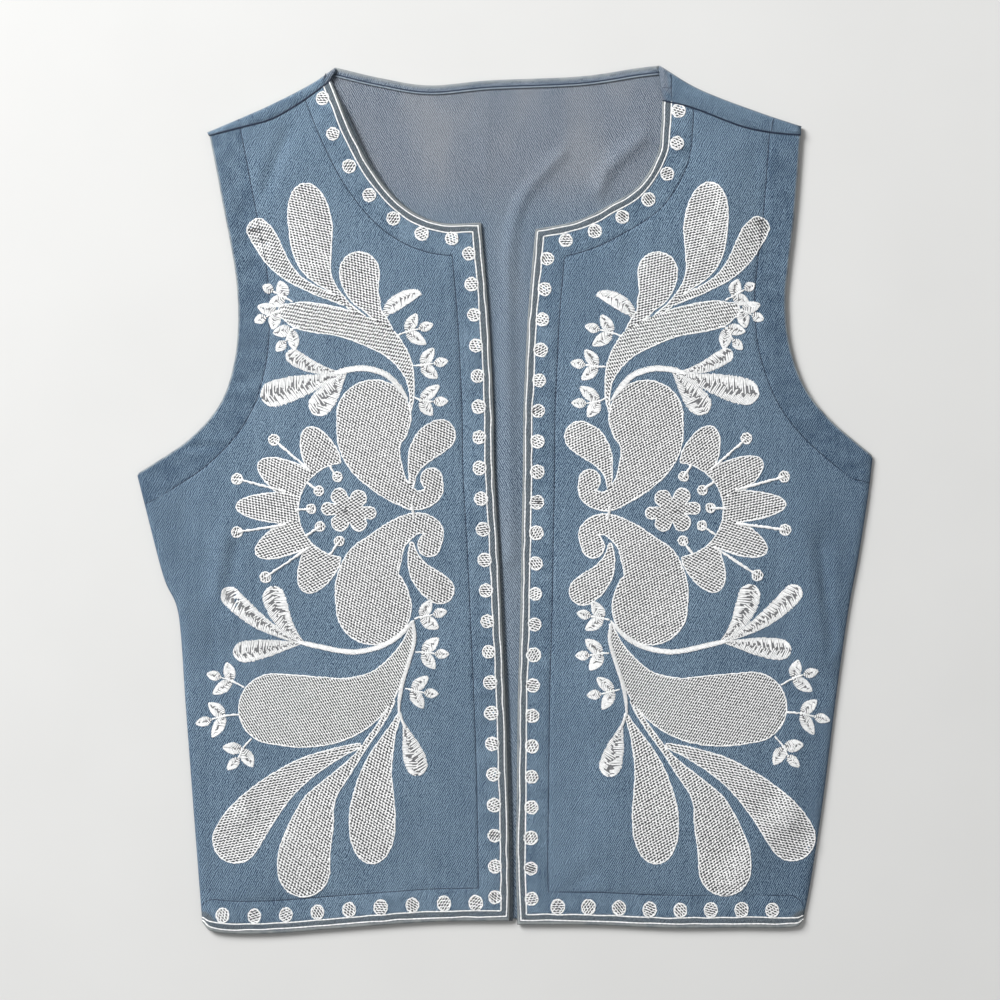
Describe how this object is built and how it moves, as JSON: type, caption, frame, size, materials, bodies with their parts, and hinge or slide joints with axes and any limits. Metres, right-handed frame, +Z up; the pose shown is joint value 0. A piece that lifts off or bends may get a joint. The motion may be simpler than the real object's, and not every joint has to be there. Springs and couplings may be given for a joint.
{
  "type": "embroidered denim vest",
  "caption": "Open-front sleeveless denim vest laid out flat, with a round neck, hip-length straight hem and light folk embroidery on both fronts.",
  "frame": {"origin": "on the resting surface, under the middle of the vest's outline", "axes": "+Y towards the neck, +X towards the wearer's left, +Z up out of the front side"},
  "size_m": [0.4912, 0.5793, 0.0078],
  "materials": {
    "denim_face": "washed blue twill, matt",
    "denim_reverse": "pale weft side of the twill, matt",
    "embroidery_thread": "off-white cotton thread, soft sheen",
    "shadow_thread": "grey underlay thread, matt",
    "seam_thread": "navy sewing thread, matt"
  },
  "bodies": {
    "root": {"back": "denim_reverse", "neck_hem": "denim_reverse", "front_right": "denim_face", "front_left": "denim_face", "facing_right": "denim_reverse", "facing_left": "denim_reverse", "armhole_facing_right": "denim_reverse", "armhole_facing_left": "denim_reverse", "hem_right": "denim_reverse", "hem_left": "denim_reverse"}
  },
  "joints": []
}
